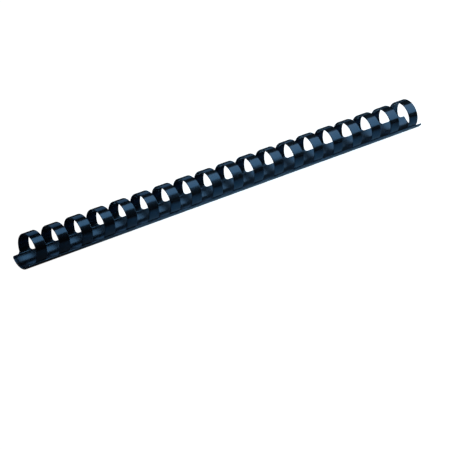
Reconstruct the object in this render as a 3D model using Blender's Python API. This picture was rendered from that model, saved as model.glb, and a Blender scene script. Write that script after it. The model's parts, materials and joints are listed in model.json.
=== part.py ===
"""Plastic binding comb: a trough-shaped spine with nineteen curled fingers.

The comb lies on its spine, along X. Its rings open at the front, where each finger's tip is
tucked inside the spine. Angles are in degrees about the ring axis, from the rear (+Y) over
the top (+Z) to the front. The origin is on the rest facet, below the middle ring.

A finger is one springy strip. Here it is three links that meet at hinges, so it can uncurl:
the root climbs the rear, the crown goes over the top, and the tip goes down the front.
"""

import math

import bmesh
import bpy
from mathutils import Matrix, Vector

# Driving dimensions, in metres
RING_COUNT = 19
RING_PITCH = 0.0142875
RING_RADIUS = 0.009
WALL = 0.0005
FINGER_WIDTH = 0.0064
LEFT_OVERHANG = 0.0047
RIGHT_OVERHANG = 0.0042
SPINE_CORNER_RADIUS = 0.001
TIP_CORNER_RADIUS = 0.0018

# Clearances, in metres
HINGE_GAP = 0.0003
TIP_CLEARANCE = 0.00035

# Driving angles, in degrees: how far the spine reaches up from the line it rests on, and how
# far a finger curls from the spine's rear edge to its tip
SPINE_FRONT_REACH = 63.0
SPINE_REAR_REACH = 54.0
FINGER_SWEEP = 277.0

# Widest facet, and the angle up to which facets are shaded as one surface, in degrees
FACET_ANGLE = 14.0
SMOOTH_ANGLE = 30.0

# Angles about the ring axis of the rest line and of the spine's two edges
REST_ANGLE = 270.0
SPINE_FRONT_ANGLE = REST_ANGLE - SPINE_FRONT_REACH
SPINE_REAR_ANGLE = REST_ANGLE + SPINE_REAR_REACH

# Share of a facet or of a width that a rounded corner may take
CORNER_LIMIT = 0.45

LINK_NAMES = ("root", "crown", "tip")

# Colour, roughness and metallic value of each piece's plastic
PLASTIC = {
    "spine": ((0.012, 0.021, 0.032, 1.0), 0.24, 0.0),
    "root": ((0.013, 0.023, 0.035, 1.0), 0.22, 0.0),
    "crown": ((0.014, 0.024, 0.037, 1.0), 0.20, 0.0),
    "tip": ((0.012, 0.021, 0.033, 1.0), 0.22, 0.0),
}


def outward(angle):
    """Unit vector from the ring axis at an angle in degrees."""
    radians = math.radians(angle)
    return Vector((0.0, math.cos(radians), math.sin(radians)))


def ring_axis():
    """Point of the ring axis below which the middle of the rest facet lies."""
    return Vector((0.0, 0.0, RING_RADIUS))


def link_angles():
    """Angles where a finger starts, bends at its two joins, and ends."""
    links = len(LINK_NAMES)
    start = SPINE_REAR_ANGLE - 360.0
    return [start + FINGER_SWEEP * number / links for number in range(links + 1)]


def curl_step():
    """Drop in bend radius at each join that keeps a finger inside the spine's front edge."""
    joins = link_angles()[1:-1]
    spread = sum(1.0 - math.cos(math.radians(join - SPINE_FRONT_ANGLE)) for join in joins)
    return (WALL + TIP_CLEARANCE) / spread


def link_arcs():
    """Centre and outer radius of each link's arc; the arcs share a tangent at each join."""
    centre = ring_axis()
    radius = RING_RADIUS
    arcs = [(centre, radius)]
    for join in link_angles()[1:-1]:
        centre = centre + outward(join) * curl_step()
        radius = radius - curl_step()
        arcs.append((centre, radius))
    return arcs


def hinge_points():
    """Middle of the wall at the start of each link, in the plane of the middle ring."""
    starts = link_angles()[:-1]
    return [
        centre + outward(start) * (radius - WALL / 2)
        for start, (centre, radius) in zip(starts, link_arcs())
    ]


def ring_position(number):
    """X of a ring's middle; rings are counted from the left."""
    return (number - (RING_COUNT - 1) / 2) * RING_PITCH


def gap_angle(radius):
    """Angle that half a hinge gap takes in the middle of the wall."""
    return math.degrees(HINGE_GAP / 2 / (radius - WALL / 2))


def swept_wall(centre, radius, left, right, stops):
    """Wall of constant thickness, swept about the X axis through angles that rise or fall.

    Each stretch between two stops is cut into equal facets that touch the true circle from
    outside, none wider than FACET_ANGLE.
    """
    mesh = bmesh.new()
    stretch_factor = 1.0 / math.cos(math.radians(FACET_ANGLE / 2))
    corners = (
        (left, radius - WALL),
        (right, radius - WALL),
        (right, radius),
        (left, radius),
    )
    verts = []
    for x, reach in corners:
        point = centre + outward(stops[0]) * (reach * stretch_factor)
        verts.append(mesh.verts.new((x, point.y, point.z)))
    end = mesh.faces.new(verts)
    inner = []
    for start, stop in zip(stops, stops[1:]):
        turned = bmesh.ops.spin(
            mesh,
            geom=[end],
            cent=centre,
            axis=(1.0, 0.0, 0.0),
            angle=math.radians(stop - start),
            steps=math.ceil(abs(stop - start) / FACET_ANGLE),
        )
        end = next(item for item in turned["geom_last"] if isinstance(item, bmesh.types.BMFace))
        inner.append(end)
    bmesh.ops.delete(mesh, geom=inner[:-1], context="FACES_ONLY")
    bmesh.ops.recalc_face_normals(mesh, faces=mesh.faces)
    return mesh


def facet_length(radius, start, stop):
    """Length of one facet along a stretch."""
    facets = math.ceil(abs(stop - start) / FACET_ANGLE)
    half = math.radians(abs(stop - start) / facets / 2)
    return 2 * radius * math.tan(half)


def round_corners(mesh, centre, angles, corner_radius):
    """Round the corners where the wall's ends stop, seen square to the wall."""
    edges = []
    for edge in mesh.edges:
        middle = (edge.verts[0].co + edge.verts[1].co) / 2 - centre
        across_wall = edge.verts[0].co.x == edge.verts[1].co.x and edge.calc_length() < 2 * WALL
        for angle in angles:
            radial = Vector((0.0, middle.y, middle.z)).normalized()
            if across_wall and radial.dot(outward(angle)) > math.cos(math.radians(1.0)):
                edges.append(edge)
    bmesh.ops.bevel(
        mesh,
        geom=edges,
        offset=corner_radius,
        segments=3,
        profile=0.5,
        affect="EDGES",
    )
    bmesh.ops.recalc_face_normals(mesh, faces=mesh.faces)


def plastic(name):
    """Principled material of one kind of piece."""
    colour, roughness, metallic = PLASTIC[name]
    material = bpy.data.materials.new(f"{name}_plastic")
    material.use_nodes = True
    shader = material.node_tree.nodes["Principled BSDF"]
    shader.inputs["Base Color"].default_value = colour
    shader.inputs["Roughness"].default_value = roughness
    shader.inputs["Metallic"].default_value = metallic
    return material


def finished_mesh(name, mesh, origin):
    """Mesh data with its origin moved to a point, its plastic, and smooth shading."""
    bmesh.ops.transform(mesh, matrix=Matrix.Translation(-origin), verts=mesh.verts)
    data = bpy.data.meshes.new(name)
    mesh.to_mesh(data)
    mesh.free()
    data.materials.append(plastic(name))
    data.shade_smooth()
    data.set_sharp_from_angle(angle=math.radians(SMOOTH_ANGLE))
    return data


def placed(name, data, location, parent=None):
    """Object in the scene, at a location in its parent's frame."""
    piece = bpy.data.objects.new(name, data)
    bpy.context.scene.collection.objects.link(piece)
    piece.parent = parent
    piece.location = location
    return piece


def spine_mesh():
    """Trough from the front edge that hides the tips, under the rings, to the fingers' roots."""
    centre = ring_axis()
    rear = SPINE_REAR_ANGLE - gap_angle(RING_RADIUS)
    rest = (REST_ANGLE - FACET_ANGLE / 2, REST_ANGLE + FACET_ANGLE / 2)
    left = ring_position(0) - FINGER_WIDTH / 2 - LEFT_OVERHANG
    right = ring_position(RING_COUNT - 1) + FINGER_WIDTH / 2 + RIGHT_OVERHANG
    stops = (SPINE_FRONT_ANGLE, *rest, rear)
    mesh = swept_wall(centre, RING_RADIUS, left, right, stops)
    shortest = min(
        facet_length(RING_RADIUS, SPINE_FRONT_ANGLE, rest[0]),
        facet_length(RING_RADIUS, rest[1], rear),
    )
    corner = min(SPINE_CORNER_RADIUS, 2 * CORNER_LIMIT * shortest)
    round_corners(mesh, centre, (SPINE_FRONT_ANGLE, rear), corner)
    return finished_mesh("spine", mesh, Vector((0.0, 0.0, 0.0)))


def link_mesh(number):
    """One link of a finger, from half a hinge gap after its start."""
    name = LINK_NAMES[number]
    centre, radius = link_arcs()[number]
    start, stop = link_angles()[number : number + 2]
    start += gap_angle(radius)
    if name != LINK_NAMES[-1]:
        stop -= gap_angle(radius)
    mesh = swept_wall(centre, radius, -FINGER_WIDTH / 2, FINGER_WIDTH / 2, (start, stop))
    if name == LINK_NAMES[-1]:
        corner = min(
            TIP_CORNER_RADIUS,
            2 * CORNER_LIMIT * facet_length(radius - WALL, start, stop),
            CORNER_LIMIT * FINGER_WIDTH,
        )
        round_corners(mesh, centre, (stop,), corner)
    return finished_mesh(name, mesh, hinge_points()[number])


def build_comb():
    """Spine first, then nineteen fingers that share the meshes of their three links."""
    spine = placed("spine", spine_mesh(), (0.0, 0.0, 0.0))
    links = [link_mesh(number) for number in range(len(LINK_NAMES))]
    hinges = hinge_points()
    for ring in range(RING_COUNT):
        parent = spine
        place = hinges[0] + Vector((ring_position(ring), 0.0, 0.0))
        for number, link in enumerate(LINK_NAMES):
            parent = placed(f"finger_{ring + 1:02d}_{link}", links[number], place, parent)
            if number + 1 < len(LINK_NAMES):
                place = hinges[number + 1] - hinges[number]


for old in list(bpy.data.objects):
    bpy.data.objects.remove(old)
build_comb()
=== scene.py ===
"""Plastic binding comb: a glossy spine with nineteen curled fingers.

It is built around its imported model, piece by piece, and rests on its spine along X. Angles are
in degrees about the ring axis, from the rear (+Y) over the top (+Z) to the front.
"""

import json
import math

import bmesh
import bpy
from mathutils import Matrix, Vector


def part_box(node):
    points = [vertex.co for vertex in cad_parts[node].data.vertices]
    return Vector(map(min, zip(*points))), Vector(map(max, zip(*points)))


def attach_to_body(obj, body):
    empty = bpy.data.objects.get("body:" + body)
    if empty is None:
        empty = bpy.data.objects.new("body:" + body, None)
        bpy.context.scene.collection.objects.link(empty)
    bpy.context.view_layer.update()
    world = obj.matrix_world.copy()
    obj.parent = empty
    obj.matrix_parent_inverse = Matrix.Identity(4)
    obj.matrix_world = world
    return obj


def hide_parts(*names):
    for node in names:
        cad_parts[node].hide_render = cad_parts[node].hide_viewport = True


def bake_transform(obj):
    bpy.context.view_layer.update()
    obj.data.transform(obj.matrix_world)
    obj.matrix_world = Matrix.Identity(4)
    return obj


bl_info = {
    "name": "Binding Comb",
    "version": (1, 0, 0),
    "blender": (4, 5, 0),
    "location": "View3D > Sidebar > Binding Comb",
    "description": "Builds a plastic binding comb with its studio",
    "category": "Add Mesh",
}

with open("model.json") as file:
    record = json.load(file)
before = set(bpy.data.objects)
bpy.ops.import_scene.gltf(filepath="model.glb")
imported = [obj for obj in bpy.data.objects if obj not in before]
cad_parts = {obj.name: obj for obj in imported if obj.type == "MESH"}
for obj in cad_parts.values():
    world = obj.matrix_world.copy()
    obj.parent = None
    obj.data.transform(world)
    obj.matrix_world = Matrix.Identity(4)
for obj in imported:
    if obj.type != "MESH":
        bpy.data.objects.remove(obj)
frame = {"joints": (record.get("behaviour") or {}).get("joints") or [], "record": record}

# Angle of the line on which the spine rests, in degrees
REST_ANGLE = 270.0

# Nearer than this, in metres, two places are one
SAME_PLACE = 1e-6

# Steps round a rounded edge, a corner of the spine, and the fillet at a finger's foot
EDGE_STEPS = 3
CORNER_STEPS = 6
FILLET_STEPS = 7

# Cut edges are rounded where faces meet at more than this, in degrees
RIM_ANGLE = 60.0

# Faces that meet at less than this are shaded as one surface, in degrees
SMOOTH_ANGLE = 35.0

# How squarely a face has to look away from the ring axis, or towards it, to be the sheet's
# own face, and how squarely it has to look along a finger to be the finger's end
FACE_LEAN = 0.6
END_LEAN = 0.9

# Rounded edges that fit between a finger's side and the cut that keeps its face flat
SUPPORT_ROUNDS = 3.0

# A sweep's first and last facets are this many times shorter than the others
END_FACET_PARTS = 5

# Refractive index that gives the plastic its strong gloss
PLASTIC_IOR = 2.0

# Noise of the colour clouds and of the ripple, in waves to a metre, and the ripple's height
CLOUD_SCALE = 160.0
RIPPLE_SCALE = 420.0
RIPPLE_HEIGHT = 0.00002

# Streaks to a metre along the comb, and across it
STREAK_SCALE = (60.0, 2600.0, 2600.0)

# Share of its roughness that the plastic has where it is best and worst polished
POLISH = (0.85, 1.2)

# Strength of the ripple on the sheet, on its inner face and on its cut edges
SHEET_RIPPLE = 0.25
INNER_RIPPLE = 0.35
EDGE_RIPPLE = 0.5

FLOOR_SIZE = 12.0
FLOOR_DROP = 0.00002
FLOOR_TONES = (0.86, 0.88)
FLOOR_CLOUD_SCALE = 30.0

# Softboxes: how high they hang, and the right halves of their outlines seen from above
SOFTBOX_HEIGHT = 0.6
OVERHEAD_HALF = (
    (0.0, -0.35),
    (0.33, -0.35),
    (0.43, -0.42),
    (0.62, -0.64),
    (0.76, -0.86),
    (1.10, -1.08),
    (1.70, -0.80),
    (0.80, 0.13),
    (0.40, 0.13),
    (0.28, 0.10),
    (0.17, 0.03),
    (0.0, 0.0),
)
REAR_HALF = (
    (0.0, 0.40),
    (0.24, 0.40),
    (0.50, 0.58),
    (0.80, 0.90),
    (2.10, 2.20),
    (0.0, 2.20),
)

# Key lamp: where it hangs, its length and breadth, and how wide it shines
LAMP_PLACE = (0.18, -0.015, 0.3)
LAMP_LENGTH = 0.5
LAMP_BREADTH = 0.08
LAMP_SPREAD = 24.0

# How far the camera sees
CAMERA_REACH = 20.0

WHITE = (1.0, 1.0, 1.0)


def angle_of(arm):
    """Angle about the ring axis of an arm from it, in degrees."""
    return math.degrees(math.atan2(arm.z, arm.y))


def outward(angle):
    """Unit vector from the ring axis at an angle in degrees."""
    radians = math.radians(angle)
    return Vector((0.0, math.cos(radians), math.sin(radians)))


def read_frame():
    """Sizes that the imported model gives: the rings, their hinges' angles, and the spine's ends."""
    hinges = {joint["name"]: Vector(joint["pos_m"]) for joint in frame["joints"]}
    roots = sorted(name for name in hinges if name.endswith("_root_flex"))
    rings = [(name[: -len("_root_flex")], hinges[name].x) for name in roots]
    bore = frame["record"]["physics"]["openings"][0]["box_m"]
    centre = Vector((0.0, 0.0, (bore[0][2] + bore[1][2]) / 2))
    radius = centre.z
    finger = rings[0][0]
    arms = []
    for link in ("root", "crown"):
        point = hinges[f"{finger}_{link}_flex"]
        arms.append(Vector((0.0, point.y, point.z)) - centre)
    root_angle, crown_angle = (angle_of(arm) for arm in arms)
    low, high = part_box("spine")
    narrow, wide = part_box(f"{finger}_crown")
    return {
        "rings": rings,
        "centre": centre,
        "radius": radius,
        "wall": 2.0 * (radius - arms[0].length),
        "root_angle": root_angle,
        "crown_angle": crown_angle,
        "tip_angle": 2.0 * crown_angle - root_angle,
        "left": low.x,
        "right": high.x,
        "finger_width": wide.x - narrow.x,
    }


COMB = read_frame()
RING_AXIS = COMB["centre"]
RING_RADIUS = COMB["radius"]


class CombSizes(bpy.types.PropertyGroup):
    """Sizes of the comb that a maker would change."""

    wall: bpy.props.FloatProperty(
        name="Wall",
        description="Thickness of the plastic sheet",
        default=COMB["wall"],
        unit="LENGTH",
        precision=5,
    )
    finger_width: bpy.props.FloatProperty(
        name="Finger Width",
        description="Width of each finger along the comb",
        default=COMB["finger_width"],
        unit="LENGTH",
        precision=5,
    )
    front_reach: bpy.props.FloatProperty(
        name="Front Reach",
        description="How far the spine climbs in front of the line it rests on",
        default=math.radians(63.0),
        subtype="ANGLE",
    )
    tip_gap: bpy.props.FloatProperty(
        name="Tip Gap",
        description="Between a finger's tip and the inside of the spine's front edge",
        default=0.00008,
        unit="LENGTH",
        precision=5,
    )
    stub: bpy.props.FloatProperty(
        name="Finger Stub",
        description="How much of each finger's foot is part of the spine",
        default=math.radians(14.0),
        subtype="ANGLE",
    )
    fillet: bpy.props.FloatProperty(
        name="Foot Fillet",
        description="Radius between a finger's foot and the spine's rear edge",
        default=0.0018,
        unit="LENGTH",
        precision=5,
    )
    spine_corner: bpy.props.FloatProperty(
        name="Spine Corner",
        description="Radius of the spine's four corners",
        default=0.001,
        unit="LENGTH",
        precision=5,
    )
    tip_corner: bpy.props.FloatProperty(
        name="Tip Corner",
        description="Radius of the corners at a finger's tip",
        default=0.0024,
        unit="LENGTH",
        precision=5,
    )
    edge_round: bpy.props.FloatProperty(
        name="Edge Round",
        description="Radius of the die-cut edges",
        default=0.00009,
        unit="LENGTH",
        precision=5,
    )
    facet: bpy.props.FloatProperty(
        name="Facet",
        description="Angle of one facet of a curled wall",
        default=math.radians(1.25),
        subtype="ANGLE",
    )


class CombFinish(bpy.types.PropertyGroup):
    """Colours and gloss of the plastic."""

    colour: bpy.props.FloatVectorProperty(
        name="Colour",
        description="Near-black navy of the sheet",
        default=(0.0210, 0.0210, 0.0250),
        size=3,
        min=0.0,
        max=1.0,
        subtype="COLOR",
    )
    colour_shift: bpy.props.FloatVectorProperty(
        name="Second Colour",
        description="Colour that the sheet drifts to in soft clouds",
        default=(0.0180, 0.0220, 0.0290),
        size=3,
        min=0.0,
        max=1.0,
        subtype="COLOR",
    )
    edge_colour: bpy.props.FloatVectorProperty(
        name="Cut Edge Colour",
        description="Slightly paler plastic on the die-cut edges",
        default=(0.0270, 0.0340, 0.0430),
        size=3,
        min=0.0,
        max=1.0,
        subtype="COLOR",
    )
    sheen: bpy.props.FloatVectorProperty(
        name="Reflection Colour",
        description="Blue cast of what the gloss reflects",
        default=(0.18, 0.52, 1.0),
        size=3,
        min=0.0,
        max=1.0,
        subtype="COLOR",
    )
    roughness: bpy.props.FloatProperty(
        name="Roughness",
        description="Roughness of the sheet's face",
        default=0.17,
        min=0.0,
        max=1.0,
        subtype="FACTOR",
    )
    inner_roughness: bpy.props.FloatProperty(
        name="Inner Roughness",
        description="Roughness of the sheet's duller inner face",
        default=0.23,
        min=0.0,
        max=1.0,
        subtype="FACTOR",
    )
    edge_roughness: bpy.props.FloatProperty(
        name="Cut Edge Roughness",
        description="Roughness of the die-cut edges",
        default=0.3,
        min=0.0,
        max=1.0,
        subtype="FACTOR",
    )


class StudioSettings(bpy.types.PropertyGroup):
    """Camera, floor and lights."""

    azimuth: bpy.props.FloatProperty(
        name="Azimuth",
        description="Camera's turn about the comb",
        default=math.radians(-38.866),
        subtype="ANGLE",
    )
    elevation: bpy.props.FloatProperty(
        name="Elevation",
        description="Camera's height above the horizon",
        default=math.radians(27.562),
        subtype="ANGLE",
    )
    roll: bpy.props.FloatProperty(
        name="Roll",
        description="Camera's tilt about its own line of sight",
        default=math.radians(0.754),
        subtype="ANGLE",
    )
    distance: bpy.props.FloatProperty(
        name="Distance",
        description="From the camera to the middle ring's axis",
        default=1.189,
        unit="LENGTH",
    )
    lens: bpy.props.FloatProperty(
        name="Lens",
        description="Focal length in millimetres",
        default=174.57,
    )
    aim_right: bpy.props.FloatProperty(
        name="Aim Right",
        description="How far right of the middle ring the camera looks",
        default=-0.00226,
        unit="LENGTH",
        precision=5,
    )
    aim_up: bpy.props.FloatProperty(
        name="Aim Up",
        description="How far above the middle ring the camera looks",
        default=-0.0256,
        unit="LENGTH",
        precision=5,
    )
    overhead_light: bpy.props.FloatProperty(
        name="Overhead Light",
        description="Brightness of the large overhead softbox",
        default=1.45,
    )
    key_light: bpy.props.FloatProperty(
        name="Key Light",
        description="Power of the soft lamp above the comb",
        default=0.055,
        unit="POWER",
    )
    key_colour: bpy.props.FloatVectorProperty(
        name="Key Colour",
        description="Cool cast of the soft lamp",
        default=(0.40, 0.77, 1.0),
        size=3,
        min=0.0,
        max=1.0,
        subtype="COLOR",
    )
    floor_glow: bpy.props.FloatProperty(
        name="Floor Glow",
        description="How much the pale floor is lifted towards white",
        default=1.0,
    )
    room_light: bpy.props.FloatProperty(
        name="Room Light",
        description="Brightness of the even light from all sides",
        default=0.06,
    )
    rear_light: bpy.props.FloatProperty(
        name="Rear Light",
        description="Brightness of the dimmer softbox at the rear",
        default=0.5,
    )
    rear_colour: bpy.props.FloatVectorProperty(
        name="Rear Colour",
        description="Cool cast of the rear softbox",
        default=(0.45, 0.75, 1.0),
        size=3,
        min=0.0,
        max=1.0,
        subtype="COLOR",
    )


def settings():
    """The comb's three groups of settings."""
    scene = bpy.context.scene
    return scene.comb_sizes, scene.comb_finish, scene.comb_studio


# ---------------------------------------------------------------- modelling


def start_piece(name, size, location, turn):
    """New plane, alone in the selection, with its size and place in its mesh."""
    bpy.ops.object.select_all(action="DESELECT")
    bpy.ops.mesh.primitive_plane_add(size=1.0, location=location, rotation=(turn, 0.0, 0.0))
    piece = bpy.context.object
    piece.name = name
    piece.data.name = name
    piece.scale = (size[0], size[1], 1.0)
    bpy.ops.object.transform_apply(location=True, rotation=True, scale=True)
    return piece


def pick(kind, wanted):
    """Select the edit mesh's vertices, edges or faces for which wanted() holds."""
    bpy.ops.mesh.select_mode(type=kind)
    bpy.ops.mesh.select_all(action="DESELECT")
    mesh = bmesh.from_edit_mesh(bpy.context.object.data)
    items = {"VERT": mesh.verts, "EDGE": mesh.edges, "FACE": mesh.faces}[kind]
    for item in items:
        if wanted(item):
            item.select_set(True)
    mesh.select_flush_mode()
    bmesh.update_edit_mesh(bpy.context.object.data)


def slice_piece(place, normal):
    """Cut new edges all round the piece where a plane passes."""
    bpy.ops.mesh.select_all(action="SELECT")
    bpy.ops.mesh.bisect(plane_co=place, plane_no=normal)


def move_selected(new_place):
    """Move each selected vertex of the edit mesh to where new_place() puts it."""
    mesh = bmesh.from_edit_mesh(bpy.context.object.data)
    for vert in mesh.verts:
        if vert.select:
            vert.co = new_place(vert.co)
    bmesh.update_edit_mesh(bpy.context.object.data)


def round_picked_edges():
    """Round the selected edges as a die leaves them."""
    sizes, _, _ = settings()
    bpy.ops.mesh.bevel(
        offset=sizes.edge_round, segments=EDGE_STEPS, profile=0.5, affect="EDGES"
    )


def apply_modifier(piece, kind, **values):
    """Add a modifier, set it, and make it part of the mesh."""
    modifier = piece.modifiers.new(kind.title(), kind)
    for key, value in values.items():
        setattr(modifier, key, value)
    bpy.context.view_layer.objects.active = piece
    bpy.ops.object.modifier_apply(modifier=modifier.name)


def front_edge_angle():
    """Angle of the spine's front edge, in degrees."""
    sizes, _, _ = settings()
    return REST_ANGLE - math.degrees(sizes.front_reach)


def finger_arcs():
    """Centre and outer radius of a finger's three arcs, which share a tangent at each join.

    Each arc is a little tighter than the last, so the finger ends inside the spine's front edge.
    """
    sizes, _, _ = settings()
    joins = (COMB["crown_angle"], COMB["tip_angle"])
    leans = [math.radians(join - front_edge_angle()) for join in joins]
    spread = sum(1.0 - math.cos(lean) for lean in leans)
    step = (sizes.wall + sizes.tip_gap) / spread
    arcs = [(RING_AXIS, RING_RADIUS)]
    for join in joins:
        centre, radius = arcs[-1]
        arcs.append((centre + outward(join) * step, radius - step))
    return arcs


def make_spine():
    """Die-cut blank with nineteen stubs, rounded edges, bent into a trough."""
    sizes, _, _ = settings()
    front_angle = front_edge_angle()
    rear_angle = 360.0 + COMB["root_angle"]
    middle_angle = (front_angle + rear_angle) / 2
    half_height = RING_RADIUS * math.radians(rear_angle - front_angle) / 2
    stub_end = -half_height - RING_RADIUS * sizes.stub
    length = COMB["right"] - COMB["left"]
    middle_x = (COMB["right"] + COMB["left"]) / 2
    half_foot = sizes.finger_width / 2
    spine = start_piece(
        "spine_sheet", (length, 2.0 * half_height), (middle_x, 0.0, 0.0), math.radians(90.0)
    )
    bpy.ops.object.mode_set(mode="EDIT")

    # Round the blank's four corners
    pick("VERT", lambda vert: True)
    bpy.ops.mesh.bevel(offset=sizes.spine_corner, segments=CORNER_STEPS, affect="VERTICES")

    # Nineteen stubs, flared where they meet the rear edge, which is the blank's lower edge
    ring_places = [ring_x for _, ring_x in COMB["rings"]]
    for ring_x in ring_places:
        for side in (-1.0, 1.0):
            edge_x = ring_x + side * (half_foot + sizes.fillet)
            slice_piece((edge_x, 0.0, 0.0), (1.0, 0.0, 0.0))

    def foot_of(x):
        return min(ring_places, key=lambda ring_x: abs(ring_x - x))

    def under_foot(edge):
        at_edge = all(abs(vert.co.z + half_height) < SAME_PLACE for vert in edge.verts)
        x = (edge.verts[0].co.x + edge.verts[1].co.x) / 2
        return at_edge and abs(foot_of(x) - x) < half_foot / 2

    pick("EDGE", under_foot)
    depth = 0.0
    for number in range(1, FILLET_STEPS + 1):
        turn = math.radians(90.0 * number / FILLET_STEPS)
        new_depth = sizes.fillet * (1.0 - math.cos(turn))
        half_width = half_foot + sizes.fillet * (1.0 - math.sin(turn))
        bpy.ops.mesh.extrude_region_move(
            TRANSFORM_OT_translate={"value": (0.0, 0.0, depth - new_depth)}
        )
        depth = new_depth

        def narrowed(place, half_width=half_width):
            ring_x = foot_of(place.x)
            x = ring_x + math.copysign(half_width, place.x - ring_x)
            return (x, place.y, place.z)

        move_selected(narrowed)
    bpy.ops.mesh.extrude_region_move(
        TRANSFORM_OT_translate={"value": (0.0, 0.0, stub_end + half_height + depth)}
    )
    bpy.ops.object.mode_set(mode="OBJECT")
    apply_modifier(spine, "SOLIDIFY", thickness=sizes.wall, offset=-1.0)

    # Soften the cut edges, but not the ends that the fingers continue
    bpy.ops.object.mode_set(mode="EDIT")

    def is_rim(edge):
        at_stub = all(vert.co.z < stub_end + SAME_PLACE for vert in edge.verts)
        if len(edge.link_faces) != 2 or at_stub:
            return False
        across = abs(edge.verts[0].co.y - edge.verts[1].co.y) > sizes.wall / 2
        return not across and edge.calc_face_angle() > math.radians(RIM_ANGLE)

    pick("EDGE", is_rim)
    round_picked_edges()

    # Rows of narrow facets for the bend
    row = RING_RADIUS * sizes.facet
    rows = [half_height - row * number for number in range(1, int(2 * half_height / row))]
    for height in rows + [-half_height, stub_end + row / 4]:
        slice_piece((0.0, 0.0, height), (0.0, 0.0, 1.0))
    bpy.ops.object.mode_set(mode="OBJECT")
    apply_modifier(
        spine,
        "SIMPLE_DEFORM",
        deform_method="BEND",
        deform_axis="X",
        angle=(half_height - stub_end) / RING_RADIUS,
    )
    turn = math.radians(middle_angle - 180.0)
    spine.rotation_euler = (turn, 0.0, 0.0)
    spine.location = RING_AXIS + Matrix.Rotation(turn, 3, "X") @ Vector((0.0, -RING_RADIUS, 0.0))
    bpy.ops.object.transform_apply(location=True, rotation=True, scale=True)
    return spine


def facet_stops(start, stop, facet):
    """Turns of one sweep: a short first and last facet, and equal ones between."""
    short = math.copysign(facet / END_FACET_PARTS, stop - start)
    main = stop - start - 2.0 * short
    steps = max(1, round(abs(main) / facet))
    return ((short, 1), (main, steps), (short, 1))


def curl_piece(name, sweeps):
    """Strip with rounded edges, swept from one arc to the next, with both ends closed."""
    sizes, _, _ = settings()
    facet = math.degrees(sizes.facet)
    (centre, radius), start, _ = sweeps[0]
    place = centre + outward(start) * (radius - sizes.wall / 2)
    piece = start_piece(name, (sizes.finger_width, sizes.wall), place, math.radians(start))
    bpy.ops.object.mode_set(mode="EDIT")
    bpy.ops.mesh.select_all(action="SELECT")
    bpy.ops.mesh.bevel(offset=sizes.edge_round, segments=EDGE_STEPS, affect="VERTICES")
    support = sizes.finger_width / 2 - SUPPORT_ROUNDS * sizes.edge_round
    for side in (-1.0, 1.0):
        slice_piece((side * support, 0.0, 0.0), (1.0, 0.0, 0.0))
    bpy.ops.mesh.select_all(action="SELECT")
    bpy.ops.mesh.delete(type="ONLY_FACE")

    def is_cut(edge):
        across = abs(edge.verts[0].co.x - edge.verts[1].co.x) < SAME_PLACE / 10
        return across and abs(abs(edge.verts[0].co.x) - support) < SAME_PLACE

    # Only the outline is swept, so the edges that the cuts left across it go
    pick("EDGE", is_cut)
    bpy.ops.mesh.delete(type="EDGE_FACE")
    bpy.ops.mesh.select_mode(type="EDGE")
    bpy.ops.mesh.select_all(action="SELECT")
    for (centre, _), start, stop in sweeps:
        for turn, steps in facet_stops(start, stop, facet):
            bpy.ops.mesh.spin(
                steps=steps, angle=math.radians(turn), center=centre, axis=(-1.0, 0.0, 0.0)
            )
    bpy.ops.mesh.select_all(action="SELECT")
    bpy.ops.mesh.remove_doubles(threshold=SAME_PLACE)
    bpy.ops.mesh.select_all(action="SELECT")
    bpy.ops.mesh.fill_holes(sides=0)
    bpy.ops.mesh.select_all(action="SELECT")
    bpy.ops.mesh.normals_make_consistent(inside=False)
    bpy.ops.object.mode_set(mode="OBJECT")
    return piece


def finish_piece(piece):
    """Smooth shading, and the plastics of the sheet's outer face, inner face and cut edges."""
    bpy.ops.object.select_all(action="DESELECT")
    piece.select_set(True)
    bpy.context.view_layer.objects.active = piece
    bpy.ops.object.shade_smooth_by_angle(angle=math.radians(SMOOTH_ANGLE))
    piece.data.materials.clear()
    for plastic in ("comb_sheet", "comb_inner_face", "comb_cut_edge"):
        piece.data.materials.append(bpy.data.materials[plastic])
    for face in piece.data.polygons:
        arm = face.center - RING_AXIS
        arm.x = 0.0
        facing = face.normal.dot(arm.normalized())
        if facing > FACE_LEAN:
            face.material_index = 0
        elif facing < -FACE_LEAN:
            face.material_index = 1
        else:
            face.material_index = 2


def copy_to_rings(model, suffix, attach):
    """One copy of the model for every ring, each with its own mesh, handed with its finger to
    attach().
    """
    for finger, ring_x in COMB["rings"]:
        piece = model.copy()
        piece.data = model.data.copy()
        piece.name = f"{finger}_{suffix}"
        piece.data.name = piece.name
        bpy.context.scene.collection.objects.link(piece)
        piece.data.transform(Matrix.Translation((ring_x, 0.0, 0.0)))
        attach(piece, finger, ring_x)
    bpy.data.objects.remove(model)


def link_ends():
    """Angles where a finger's three visible pieces start and end, between its hinges."""
    sizes, _, _ = settings()
    root, crown, tip = COMB["root_angle"], COMB["crown_angle"], COMB["tip_angle"]
    return {
        "foot": (root + math.degrees(sizes.stub), (root + crown) / 2),
        "arch": ((root + crown) / 2, (crown + tip) / 2),
        "hook": ((crown + tip) / 2, tip + (tip - crown)),
    }


# ---------------------------------------------------------------- finish


def add_node(material, kind, location, **values):
    """Node with its inputs set by name or number."""
    node = material.node_tree.nodes.new(kind)
    node.location = location
    for key, value in values.items():
        if hasattr(node, key):
            setattr(node, key, value)
        else:
            node.inputs[key.replace("_", " ")].default_value = value
    return node


def colour_socket(sockets, name):
    """The colour socket among a mix node's sockets of one name."""
    return next(socket for socket in sockets if socket.name == name and socket.type == "RGBA")


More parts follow.
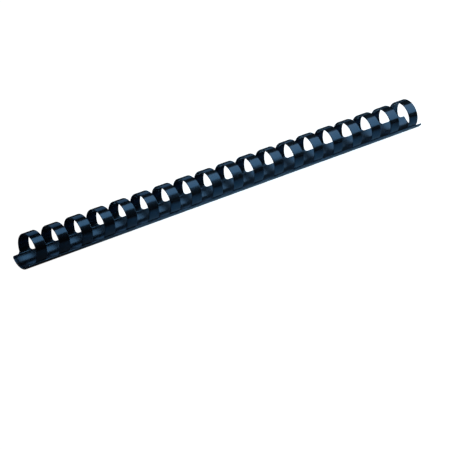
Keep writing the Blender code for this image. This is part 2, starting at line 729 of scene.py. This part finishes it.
def make_plastic(name, colours, roughness, grain):
    """Glossy plastic: clouded colour, uneven polish, drawn streaks and a faint ripple."""
    _, finish, _ = settings()
    material = bpy.data.materials.new(name)
    material.use_nodes = True
    nodes, links = material.node_tree.nodes, material.node_tree.links
    shader = nodes["Principled BSDF"]
    shader.inputs["IOR"].default_value = PLASTIC_IOR
    shader.inputs["Specular Tint"].default_value = (*finish.sheen, 1.0)
    place = add_node(material, "ShaderNodeTexCoord", (-1200, 0))

    clouds = add_node(
        material, "ShaderNodeTexNoise", (-800, 300), Scale=CLOUD_SCALE, Detail=3.0
    )
    links.new(place.outputs["Object"], clouds.inputs["Vector"])
    tint = add_node(material, "ShaderNodeMix", (-400, 300), data_type="RGBA")
    for socket_name, colour in zip("AB", colours):
        colour_socket(tint.inputs, socket_name).default_value = (*colour, 1.0)
    links.new(clouds.outputs["Fac"], tint.inputs["Factor"])
    links.new(colour_socket(tint.outputs, "Result"), shader.inputs["Base Color"])

    # Streaks run along the comb, as the sheet was drawn
    stretch = add_node(material, "ShaderNodeMapping", (-1000, -100))
    stretch.inputs["Scale"].default_value = STREAK_SCALE
    streaks = add_node(material, "ShaderNodeTexNoise", (-800, -100), Scale=1.0, Detail=4.0)
    links.new(place.outputs["Object"], stretch.inputs["Vector"])
    links.new(stretch.outputs["Vector"], streaks.inputs["Vector"])
    polish = add_node(material, "ShaderNodeMapRange", (-400, -100))
    polish.inputs["To Min"].default_value = roughness * POLISH[0]
    polish.inputs["To Max"].default_value = roughness * POLISH[1]
    links.new(streaks.outputs["Fac"], polish.inputs["Value"])
    links.new(polish.outputs["Result"], shader.inputs["Roughness"])

    # Faint ripple of a curled sheet
    ripple = add_node(
        material, "ShaderNodeTexNoise", (-800, -400), Scale=RIPPLE_SCALE, Detail=2.0
    )
    links.new(place.outputs["Object"], ripple.inputs["Vector"])
    bump = add_node(material, "ShaderNodeBump", (-400, -400))
    bump.inputs["Strength"].default_value = grain
    bump.inputs["Distance"].default_value = RIPPLE_HEIGHT
    links.new(ripple.outputs["Fac"], bump.inputs["Height"])
    links.new(bump.outputs["Normal"], shader.inputs["Normal"])


# ---------------------------------------------------------------- operators


class COMB_OT_finish(bpy.types.Operator):
    """Make the plastics of the sheet's outer face, its inner face and its cut edges"""

    bl_idname = "binding_comb.finish"
    bl_label = "Comb Finish"

    def execute(self, context):
        _, finish, _ = settings()
        face = (finish.colour, finish.colour_shift)
        edge = (finish.edge_colour, finish.colour_shift)
        make_plastic("comb_sheet", face, finish.roughness, SHEET_RIPPLE)
        make_plastic("comb_inner_face", face, finish.inner_roughness, INNER_RIPPLE)
        make_plastic("comb_cut_edge", edge, finish.edge_roughness, EDGE_RIPPLE)
        return {"FINISHED"}


class COMB_OT_spine(bpy.types.Operator):
    """Build the spine with the stubs of its nineteen fingers"""

    bl_idname = "binding_comb.spine"
    bl_label = "Spine"

    def execute(self, context):
        spine = make_spine()
        finish_piece(spine)
        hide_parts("spine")
        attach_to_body(spine, "spine")
        return {"FINISHED"}


class COMB_OT_feet(bpy.types.Operator):
    """Build the foot of each finger, which climbs the rear from the spine"""

    bl_idname = "binding_comb.feet"
    bl_label = "Finger Feet"

    def execute(self, context):
        start, stop = link_ends()["foot"]
        foot = curl_piece("foot", [(finger_arcs()[0], start, stop)])
        finish_piece(foot)

        def attach(piece, finger, ring_x):
            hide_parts(f"{finger}_root")
            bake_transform(piece)

        copy_to_rings(foot, "foot", attach)
        return {"FINISHED"}


class COMB_OT_arches(bpy.types.Operator):
    """Build the arch of each finger, which goes over the top"""

    bl_idname = "binding_comb.arches"
    bl_label = "Finger Arches"

    def execute(self, context):
        start, stop = link_ends()["arch"]
        crown = COMB["crown_angle"]
        arcs = finger_arcs()
        arch = curl_piece("arch", [(arcs[0], start, crown), (arcs[1], crown, stop)])
        finish_piece(arch)

        def attach(piece, finger, ring_x):
            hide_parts(f"{finger}_crown")
            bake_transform(piece)

        copy_to_rings(arch, "arch", attach)
        return {"FINISHED"}


class COMB_OT_hooks(bpy.types.Operator):
    """Build the hook of each finger, whose rounded tip goes down inside the spine"""

    bl_idname = "binding_comb.hooks"
    bl_label = "Finger Hooks"

    def execute(self, context):
        sizes, _, _ = settings()
        start, stop = link_ends()["hook"]
        tip = COMB["tip_angle"]
        arcs = finger_arcs()
        hook = curl_piece("hook", [(arcs[1], start, tip), (arcs[2], tip, stop)])
        centre, radius = arcs[2]

        # Narrow the last stretch to a rounded tip
        bpy.ops.object.mode_set(mode="EDIT")
        corner = sizes.tip_corner
        half_width = sizes.finger_width / 2
        mesh = bmesh.from_edit_mesh(hook.data)
        for vert in mesh.verts:
            arm = vert.co - centre
            left_over = math.radians(stop - angle_of(arm) % 360.0) * radius
            if left_over < corner:
                reach = corner - max(left_over, 0.0)
                half_here = half_width - corner + math.sqrt(max(corner**2 - reach**2, 0.0))
                vert.co.x *= half_here / half_width
        bmesh.update_edit_mesh(hook.data)
        end_normal = outward(stop + 90.0)

        def is_tip_edge(edge):
            caps = [face.normal.dot(end_normal) > END_LEAN for face in edge.link_faces]
            return caps.count(True) == 1

        pick("EDGE", is_tip_edge)
        round_picked_edges()
        bpy.ops.object.mode_set(mode="OBJECT")
        finish_piece(hook)

        def attach(piece, finger, ring_x):
            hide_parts(f"{finger}_tip")
            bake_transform(piece)

        copy_to_rings(hook, "hook", attach)
        return {"FINISHED"}


def add_softbox(name, corners, brightness, colour):
    """Glowing sheet that shows in the gloss alone, unseen by the camera."""
    mesh = bpy.data.meshes.new(name)
    places = [(x, y, SOFTBOX_HEIGHT) for x, y in corners]
    mesh.from_pydata(places, [], [range(len(corners))])
    softbox = bpy.data.objects.new(name, mesh)
    bpy.context.scene.collection.objects.link(softbox)
    material = bpy.data.materials.new(name)
    material.use_nodes = True
    nodes, links = material.node_tree.nodes, material.node_tree.links
    nodes.clear()
    output = nodes.new("ShaderNodeOutputMaterial")
    glow = nodes.new("ShaderNodeEmission")
    glow.inputs["Strength"].default_value = brightness
    glow.inputs["Color"].default_value = (*colour, 1.0)
    links.new(glow.outputs["Emission"], output.inputs["Surface"])
    mesh.materials.append(material)
    softbox.visible_camera = False
    softbox.visible_diffuse = False
    softbox.visible_shadow = False


def make_floor(glow_strength):
    """Pale floor that only the camera sees glow, so the comb has a white ground."""
    bpy.ops.object.select_all(action="DESELECT")
    bpy.ops.mesh.primitive_plane_add(size=FLOOR_SIZE, location=(0.0, 0.0, -FLOOR_DROP))
    floor = bpy.context.object
    floor.name = "floor"
    material = bpy.data.materials.new("pale_floor")
    material.use_nodes = True
    nodes, links = material.node_tree.nodes, material.node_tree.links
    shader = nodes["Principled BSDF"]
    shader.inputs["Specular IOR Level"].default_value = 0.0
    shader.inputs["Roughness"].default_value = 1.0
    place = nodes.new("ShaderNodeTexCoord")
    clouds = nodes.new("ShaderNodeTexNoise")
    clouds.inputs["Scale"].default_value = FLOOR_CLOUD_SCALE
    tone = nodes.new("ShaderNodeMapRange")
    tone.inputs["To Min"].default_value = FLOOR_TONES[0]
    tone.inputs["To Max"].default_value = FLOOR_TONES[1]
    links.new(place.outputs["Object"], clouds.inputs["Vector"])
    links.new(clouds.outputs["Fac"], tone.inputs["Value"])
    links.new(tone.outputs["Result"], shader.inputs["Base Color"])
    shader.inputs["Emission Color"].default_value = (*WHITE, 1.0)
    seen = nodes.new("ShaderNodeLightPath")
    glow = nodes.new("ShaderNodeMath")
    glow.operation = "MULTIPLY"
    glow.inputs[1].default_value = glow_strength
    links.new(seen.outputs["Is Camera Ray"], glow.inputs[0])
    links.new(glow.outputs["Value"], shader.inputs["Emission Strength"])
    floor.data.materials.append(material)


def make_room(brightness):
    """Even light from all sides, with a white background behind the floor."""
    world = bpy.data.worlds.new("studio")
    world.use_nodes = True
    nodes, links = world.node_tree.nodes, world.node_tree.links
    background = nodes["Background"]
    background.inputs["Color"].default_value = (*WHITE, 1.0)
    seen = nodes.new("ShaderNodeLightPath")
    level = nodes.new("ShaderNodeMapRange")
    level.inputs["To Min"].default_value = brightness
    level.inputs["To Max"].default_value = 1.0
    links.new(seen.outputs["Is Camera Ray"], level.inputs["Value"])
    links.new(level.outputs["Result"], background.inputs["Strength"])
    world.cycles_visibility.glossy = False
    bpy.context.scene.world = world


def make_softboxes(studio):
    """Overhead and rear softboxes, each a right half and its mirrored left half."""
    for side, name in ((1.0, "right"), (-1.0, "left")):
        overhead = [(side * x, y) for x, y in OVERHEAD_HALF]
        rear = [(side * x, y) for x, y in REAR_HALF]
        add_softbox(f"overhead_softbox_{name}", overhead, studio.overhead_light, WHITE)
        add_softbox(f"rear_softbox_{name}", rear, studio.rear_light, studio.rear_colour)


def make_key_lamp(power, colour):
    """Soft lamp, seen only in what the floor beside the comb gives back."""
    lamp_data = bpy.data.lights.new("key_lamp", "AREA")
    lamp_data.shape = "RECTANGLE"
    lamp_data.size = LAMP_LENGTH
    lamp_data.size_y = LAMP_BREADTH
    lamp_data.spread = math.radians(LAMP_SPREAD)
    lamp_data.energy = power
    lamp_data.color = colour
    lamp_data.use_shadow = False
    lamp = bpy.data.objects.new("key_lamp", lamp_data)
    lamp.location = LAMP_PLACE
    lamp.visible_camera = False
    lamp.visible_glossy = False
    bpy.context.scene.collection.objects.link(lamp)


def make_camera(studio):
    """Camera turned about the middle ring's axis, aimed a little below it."""
    turn, rise, roll = studio.azimuth, studio.elevation, studio.roll
    back = Vector(
        (math.sin(turn) * math.cos(rise), -math.cos(turn) * math.cos(rise), math.sin(rise))
    )
    level = Vector((math.cos(turn), math.sin(turn), 0.0))
    upright = back.cross(level)
    right = level * math.cos(roll) + upright * math.sin(roll)
    up = upright * math.cos(roll) - level * math.sin(roll)
    eye = RING_AXIS + back * studio.distance
    target = RING_AXIS + right * studio.aim_right + up * studio.aim_up
    look = (target - eye).normalized()
    side = look.cross(up).normalized()
    over = side.cross(look)
    camera_data = bpy.data.cameras.new("camera")
    camera_data.lens = studio.lens
    camera_data.clip_end = CAMERA_REACH
    camera = bpy.data.objects.new("camera", camera_data)
    camera.matrix_world = Matrix(
        (
            (side.x, over.x, -look.x, eye.x),
            (side.y, over.y, -look.y, eye.y),
            (side.z, over.z, -look.z, eye.z),
            (0.0, 0.0, 0.0, 1.0),
        )
    )
    bpy.context.scene.collection.objects.link(camera)
    bpy.context.scene.camera = camera


class COMB_OT_studio(bpy.types.Operator):
    """Build the pale floor, the soft lights and the camera"""

    bl_idname = "binding_comb.studio"
    bl_label = "Studio"

    def execute(self, context):
        _, _, studio = settings()
        make_floor(studio.floor_glow)
        make_room(studio.room_light)
        make_softboxes(studio)
        make_key_lamp(studio.key_light, studio.key_colour)
        make_camera(studio)
        context.scene.view_settings.view_transform = "Standard"
        return {"FINISHED"}


class COMB_PT_panel(bpy.types.Panel):
    """Sidebar list of the comb's settings and pieces"""

    bl_idname = "COMB_PT_panel"
    bl_label = "Binding Comb"
    bl_space_type = "VIEW_3D"
    bl_region_type = "UI"
    bl_category = "Binding Comb"

    def draw(self, context):
        for group in settings():
            box = self.layout.box()
            for key in group.bl_rna.properties.keys():
                if key not in ("rna_type", "name"):
                    box.prop(group, key)
        for operator in OPERATORS:
            self.layout.operator(operator.bl_idname)


GROUPS = (
    ("comb_sizes", CombSizes),
    ("comb_finish", CombFinish),
    ("comb_studio", StudioSettings),
)
OPERATORS = (
    COMB_OT_finish,
    COMB_OT_spine,
    COMB_OT_feet,
    COMB_OT_arches,
    COMB_OT_hooks,
    COMB_OT_studio,
)


def register():
    """Register the add-on's classes and its settings."""
    for name, group in GROUPS:
        bpy.utils.register_class(group)
        setattr(bpy.types.Scene, name, bpy.props.PointerProperty(type=group))
    for operator in OPERATORS:
        bpy.utils.register_class(operator)
    bpy.utils.register_class(COMB_PT_panel)


def unregister():
    """Take the add-on's classes and settings away."""
    bpy.utils.unregister_class(COMB_PT_panel)
    for operator in reversed(OPERATORS):
        bpy.utils.unregister_class(operator)
    for name, group in reversed(GROUPS):
        delattr(bpy.types.Scene, name)
        bpy.utils.unregister_class(group)


def main():
    """Build the comb and its studio."""
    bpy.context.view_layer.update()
    register()
    bpy.ops.binding_comb.finish()
    bpy.ops.binding_comb.spine()
    bpy.ops.binding_comb.feet()
    bpy.ops.binding_comb.arches()
    bpy.ops.binding_comb.hooks()
    bpy.ops.binding_comb.studio()
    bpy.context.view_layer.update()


if __name__ == "__main__":
    main()
